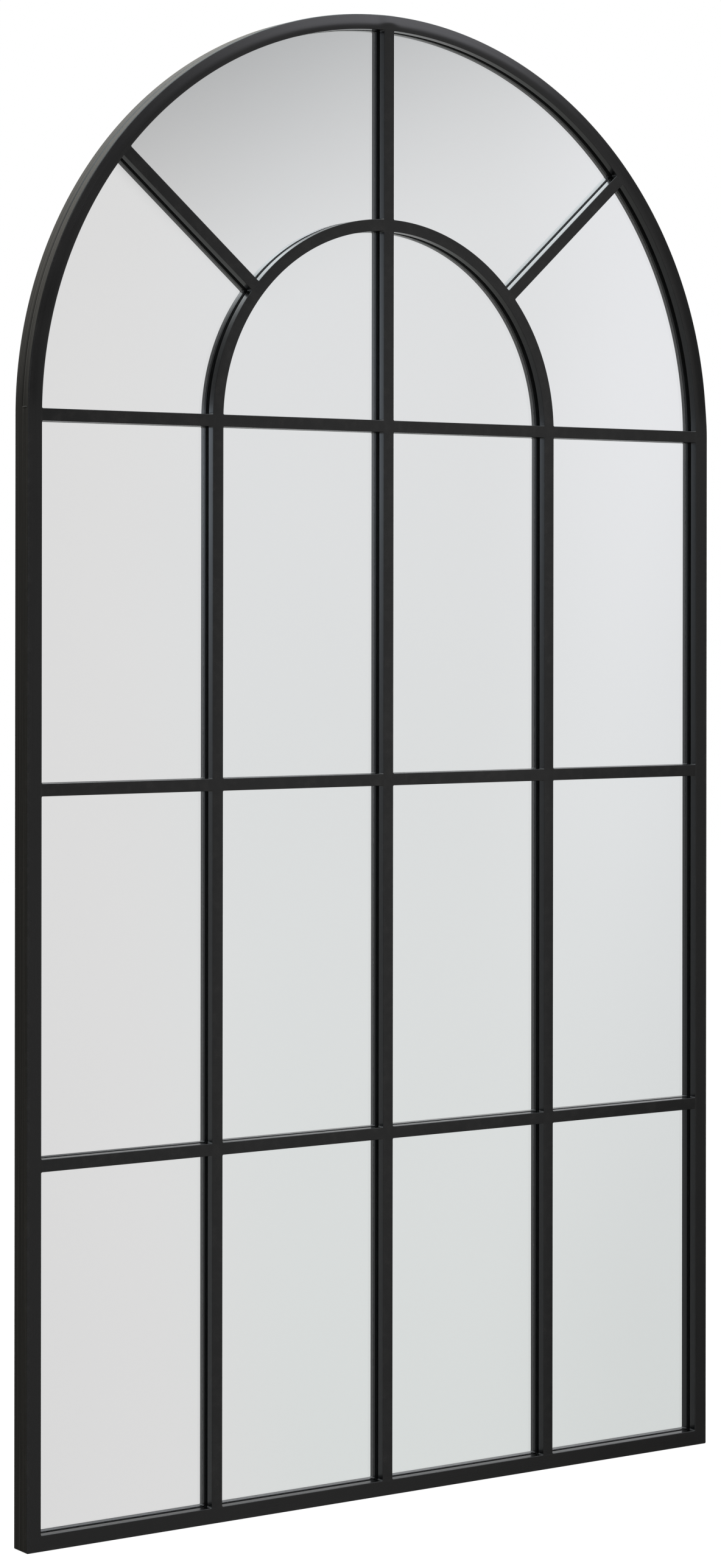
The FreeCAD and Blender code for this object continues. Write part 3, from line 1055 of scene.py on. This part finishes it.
class MIRROR_OT_screws(bpy.types.Operator):
    """Pan-head screws with a cross recess, on which the clips turn"""

    bl_idname = "mirror.screws"
    bl_label = "Clip screws"

    def shell(self, bm, sizes, low, high):
        """The turned outside of a screw, open at its tip and on its head."""
        shank, head, ease = sizes.screw_radius, sizes.boss_radius, sizes.rear_ease
        under, curve = high - sizes.head_height, sizes.head_round
        section = [(shank - 2 * ease, low), (shank, low + 3 * ease), (shank, under)]
        section += [(head - ease, under), (head, under + ease)]
        section += [(head - curve * inset, high - curve * drop) for inset, drop in head_curve_shares]
        turned(bm, section, closed=False)
        return [edge for edge in bm.edges if len(edge.link_faces) == 1]

    def screw(self, bm, sizes, low, high):
        """One screw on the Y axis."""
        ends = self.shell(bm, sizes, low, high)
        half_way = (low + high) / 2
        tip = [edge for edge in ends if edge.verts[0].co.y < half_way]
        rim = [edge for edge in ends if edge.verts[0].co.y > half_way]
        bmesh.ops.contextual_create(bm, geom=tip)
        before = set(bm.faces)
        upright = Matrix.Translation((0, high, 0)) @ Matrix.Rotation(-math.pi / 2, 4, "X")
        bmesh.ops.create_grid(bm, x_segments=3, y_segments=3, size=sizes.recess_length / 2, matrix=upright)
        cells = [face for face in bm.faces if face not in before]
        half_cell = sizes.recess_length / 6
        corners = [face for face in cells if min(map(abs, face.calc_center_median().xz)) > half_cell]
        bmesh.ops.delete(bm, geom=corners, context="FACES")
        cross = [face for face in cells if face.is_valid]
        edge_of_cross = [edge for face in cross for edge in face.edges if len(edge.link_faces) == 1]
        fill(bm, [rim, edge_of_cross])
        bmesh.ops.inset_region(
            bm, faces=cross, thickness=sizes.rear_ease, depth=-sizes.recess_depth, use_even_offset=True
        )

    def execute(self, context):
        low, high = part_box("clip_screws")
        bm = at_pivots(self.screw, context.scene.mirror_sizes, low.y, high.y)
        add_piece(bm, "pan_head_screws", [shared_zinc(context)], ["clip_screws"])
        return {"FINISHED"}


class MIRROR_OT_turn_clips(bpy.types.Operator):
    """Turn clips of plated strip with round ends, which hold the back board"""

    bl_idname = "mirror.turn_clips"
    bl_label = "Turn clips"

    def execute(self, context):
        sizes = context.scene.mirror_sizes

        def outside(inset, y):
            return blade_outline, sizes.boss_radius - inset, sizes.clip_reach, y

        def inside(inset, y):
            return circle_outline, sizes.clip_hole + inset, y

        for name in clips:
            low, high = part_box(name)
            pivot = clip_pivots[name]
            inward = middle(name) - pivot
            bm = bmesh.new()
            plate(bm, sizes.rear_ease, low.y + sizes.lying_gap, high.y - sizes.lying_gap, outside, inside)
            aim = Matrix.Rotation(-math.atan2(inward.z, inward.x), 4, "Y")
            bmesh.ops.transform(bm, matrix=Matrix.Translation((pivot.x, 0, pivot.z)) @ aim, verts=bm.verts)
            blade = name.replace("turn_clip", "clip_blade")
            add_piece(bm, blade, [shared_zinc(context)], [name], name)
        return {"FINISHED"}


class MIRROR_OT_hangers(bpy.types.Operator):
    """Keyhole hanger plates behind the side rims"""

    bl_idname = "mirror.hangers"
    bl_label = "Hanger plates"

    def hanger(self, sizes, low, high):
        """One plate between the corners of its box."""
        entry = Vector(((low.x + high.x) / 2, 0, low.z + sizes.keyhole_height))

        def outside(inset, y):
            edges = (low.x + inset, high.x - inset, low.z + inset, high.z - inset)
            return square_outline, *edges, sizes.hanger_corner - inset, y

        def inside(inset, y):
            radii = (sizes.entry_radius + inset, sizes.slot_radius + inset)
            return keyhole_outline, entry, *radii, sizes.slot_travel, y

        bm = new_coated()
        plate(bm, sizes.rear_ease, low.y, high.y, outside, inside)
        unwrap_run(bm)
        return bm

    def execute(self, context):
        for side in ("left", "right"):
            name = "hanger_plate_" + side
            bm = self.hanger(context.scene.mirror_sizes, *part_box(name))
            add_piece(bm, "keyhole_plate_" + side, [shared_coat(context)], [name])
        return {"FINISHED"}


class MIRROR_OT_stage(bpy.types.Operator):
    """Pale floor, white surround, softboxes and camera"""

    bl_idname = "mirror.stage"
    bl_label = "Stage"

    def add_softbox(self, name, softbox, strength):
        """A large square lamp that points at a place on the mirror and shows in no reflection."""
        lamp = bpy.data.lights.new(name, "AREA")
        lamp.shape = "RECTANGLE"
        lamp.size, lamp.size_y = softbox["spread"]
        lamp.energy = strength
        box = bpy.data.objects.new(name, lamp)
        box.location = softbox["place"]
        aim = Vector(softbox["target"]) - Vector(softbox["place"])
        box.rotation_euler = aim.to_track_quat("-Z", "Y").to_euler()
        box.visible_glossy = False
        box.visible_transmission = False
        bpy.context.scene.collection.objects.link(box)

    def facing(self, tree, axes):
        """The half of the surround in front of the mirror."""
        return eased(tree, axes["Y"], *front_half)

    def patch(self, tree, axes, across, upright):
        """A soft-edged patch of the front wall."""
        faces = self.facing(tree, axes)
        for axis, (low, full, last, high) in (("X", across), ("Z", upright)):
            rising = eased(tree, axes[axis], low, full)
            falling = eased(tree, axes[axis], high, last)
            faces = calculated(tree, "MULTIPLY", faces, calculated(tree, "MULTIPLY", rising, falling))
        return faces

    def walls(self, tree, axes, in_glass):
        """The studio's walls, with their window and lamp, and the glow and dusk that only the coat shows."""
        height = ranged(tree, axes["Z"], -1.0, 1.0)
        ahead, behind = ramp(tree, height, front_wall), ramp(tree, height, rear_wall)
        walls = mixed(tree, eased(tree, axes["Y"], *wall_blend), ahead, behind)
        for place, tone in ((window_patch, window_tone), (lamp_patch, lamp_tone)):
            walls = mixed(tree, self.patch(tree, axes, *place), walls, tone)
        coated = walls
        for place, tone in ((glow_patch, glow_tone), (dusk_patch, dusk_tone)):
            coated = mixed(tree, self.patch(tree, axes, *place), coated, tone)
        return mixed(tree, in_glass, coated, walls)

    def card_place(self, tree, axes):
        """Where the surround is the pale card on the right."""
        card = calculated(tree, "MULTIPLY", eased(tree, axes["X"], *card_side), self.facing(tree, axes))
        return calculated(tree, "MULTIPLY", card, eased(tree, axes["Z"], *card_top))

    def shade(self, tree, way, axes):
        """The shade that the upper panes show, which deepens up a slope and ends along a spoke."""
        shade = eased(tree, axes["Z"], *shade_top)
        for slope, ends in ((shade_slope, shade_depth), (shade_spoke, shade_side)):
            along = node(tree, "ShaderNodeVectorMath", {0: way, 1: slope}, operation="DOT_PRODUCT")
            shade = calculated(tree, "MULTIPLY", shade, eased(tree, along.outputs["Value"], *ends))
        return shade

    def strip(self, tree, axes):
        """The lit strip of the card that the coat shows, whose sides lean."""

        def leant(lean):
            return calculated(tree, "SUBTRACT", axes["X"], calculated(tree, "MULTIPLY", axes["Z"], lean))

        leaning = {"X": leant(strip_lean), "Y": axes["Y"], "Z": axes["Z"]}
        far_side = eased(tree, leant(strip_far_lean), *strip_far_side)
        return calculated(tree, "MULTIPLY", self.patch(tree, leaning, *strip_patch), far_side)

    def card(self, tree, way, axes, in_glass):
        """The pale card as the mirror shows it, and as the coat shows it."""
        beyond = eased(tree, axes["X"], *card_middle)
        low = mixed(tree, beyond, *card_low_tones)
        high = mixed(tree, beyond, *card_high_tones[:2])
        high = mixed(tree, eased(tree, axes["X"], *card_end), high, card_high_tones[2])
        card = mixed(tree, ranged(tree, axes["Z"], *card_rise), low, high)
        card = mixed(tree, self.shade(tree, way, axes), card, shade_tone)
        coated = mixed(tree, self.strip(tree, axes), *strip_tones)
        return mixed(tree, in_glass, coated, card)

    def add_world(self, ambient):
        """White behind the mirror, a pale studio in its reflections, and soft light from all round."""
        world = bpy.data.worlds.new("studio")
        bpy.context.scene.world = world
        world.use_nodes = True
        tree = world.node_tree
        tree.nodes.clear()
        path = node(tree, "ShaderNodeLightPath").outputs
        in_glass, in_view = path["Is Transmission Ray"], path["Is Camera Ray"]
        way = node(tree, "ShaderNodeTexCoord").outputs["Generated"]
        axes = node(tree, "ShaderNodeSeparateXYZ", {"Vector": way}).outputs
        walls = self.walls(tree, axes, in_glass)
        card = self.card(tree, way, axes, in_glass)
        studio = mixed(tree, self.card_place(tree, axes), walls, card)
        seen = calculated(tree, "ADD", path["Is Glossy Ray"], in_glass)
        seen = calculated(tree, "MAXIMUM", seen, in_view)
        soft = node(tree, "ShaderNodeBackground", {"Color": rgba(white), "Strength": ambient})
        shown = mixed(tree, in_view, studio, white)
        surround = node(tree, "ShaderNodeBackground", {"Color": shown, "Strength": 1.0})
        shaders = {0: seen, 1: soft.outputs[0], 2: surround.outputs[0]}
        output = node(tree, "ShaderNodeMixShader", shaders).outputs[0]
        node(tree, "ShaderNodeOutputWorld", {"Surface": output})

    def floor_material(self):
        """Pale to the light, and white to the camera but for a faint shadow."""
        material, tree = new_material("pale_floor")
        in_view = node(tree, "ShaderNodeLightPath").outputs["Is Camera Ray"]
        grain = ranged(tree, noise(tree, object_coords(tree), 4.0, 4.0), 0.3, 0.7)
        pale = mixed(tree, grain, *floor_tones)
        faint = mixed(tree, floor_dimming_share, pale, black)
        plain = node(tree, "ShaderNodeBsdfDiffuse", {"Color": pale}).outputs[0]
        kept = node(tree, "ShaderNodeBsdfDiffuse", {"Color": faint}).outputs[0]
        glow = node(tree, "ShaderNodeEmission", {"Color": rgba(floor_glow), "Strength": 1.0}).outputs[0]
        bright = node(tree, "ShaderNodeAddShader", {0: kept, 1: glow}).outputs[0]
        output = node(tree, "ShaderNodeMixShader", {0: in_view, 1: plain, 2: bright}).outputs[0]
        node(tree, "ShaderNodeOutputMaterial", {"Surface": output})
        return material

    def add_floor(self, height):
        """A pale floor that no reflection shows."""
        bm = bmesh.new()
        bmesh.ops.create_grid(bm, x_segments=8, y_segments=8, size=floor_reach)
        bmesh.ops.translate(bm, verts=bm.verts, vec=(0, 0, height))
        mesh = bpy.data.meshes.new("floor")
        bm.to_mesh(mesh)
        bm.free()
        mesh.materials.append(self.floor_material())
        floor = bpy.data.objects.new("floor", mesh)
        bpy.context.scene.collection.objects.link(floor)
        floor.visible_glossy = False
        floor.visible_transmission = False

    def add_camera(self, studio):
        """The camera at the photograph's place."""
        lens = bpy.data.cameras.new("camera")
        lens.lens = studio.lens
        lens.shift_y = studio.rise
        camera = bpy.data.objects.new("camera", lens)
        camera.location = studio.camera_place
        camera.rotation_euler = (math.pi / 2, -studio.roll, -studio.yaw)
        bpy.context.scene.collection.objects.link(camera)
        bpy.context.scene.camera = camera

    def execute(self, context):
        studio = context.scene.mirror_studio
        context.scene.view_settings.view_transform = "Standard"
        # Light from coat to glass to silver isn't cut short at random, which would leave bright specks
        context.scene.cycles.min_light_bounces = 8
        self.add_world(studio.ambient)
        self.add_floor(studio.floor_height)
        self.add_softbox("front_softbox", front_softbox, studio.front_box)
        self.add_softbox("rear_softbox", rear_softbox, studio.rear_box)
        self.add_camera(studio)
        return {"FINISHED"}


operators = (MIRROR_OT_grille, MIRROR_OT_rim, MIRROR_OT_beads, MIRROR_OT_sheets, MIRROR_OT_tape)
operators += (MIRROR_OT_rubbers, MIRROR_OT_bosses, MIRROR_OT_screws, MIRROR_OT_turn_clips)
operators += (MIRROR_OT_hangers, MIRROR_OT_stage)
settings = {"mirror_sizes": MirrorSizes, "mirror_finish": MirrorFinish, "mirror_studio": MirrorStudio}


class MIRROR_PT_panel(bpy.types.Panel):
    """Lists the mirror's pieces and sizes"""

    bl_idname = "MIRROR_PT_panel"
    bl_label = "Arched Window Mirror"
    bl_space_type = "VIEW_3D"
    bl_region_type = "UI"
    bl_category = "Mirror"

    def draw(self, context):
        for operator in operators:
            self.layout.operator(operator.bl_idname)
        for name, group in settings.items():
            box = self.layout.box()
            for prop in group.__annotations__:
                box.prop(getattr(context.scene, name), prop)


classes = (*settings.values(), *operators, MIRROR_PT_panel)


def register():
    """Adds the classes and the settings of the scene."""
    for made in classes:
        bpy.utils.register_class(made)
    for name, group in settings.items():
        setattr(bpy.types.Scene, name, PointerProperty(type=group))


def unregister():
    """Takes them away again."""
    for name in settings:
        delattr(bpy.types.Scene, name)
    for made in reversed(classes):
        bpy.utils.unregister_class(made)


def main():
    """Builds every piece in order."""
    register()
    bpy.ops.mirror.grille()
    bpy.ops.mirror.rim()
    bpy.ops.mirror.beads()
    bpy.ops.mirror.sheets()
    bpy.ops.mirror.tape()
    bpy.ops.mirror.rubbers()
    bpy.ops.mirror.bosses()
    bpy.ops.mirror.screws()
    bpy.ops.mirror.turn_clips()
    bpy.ops.mirror.hangers()
    bpy.ops.mirror.stage()


if __name__ == "__main__":
    main()
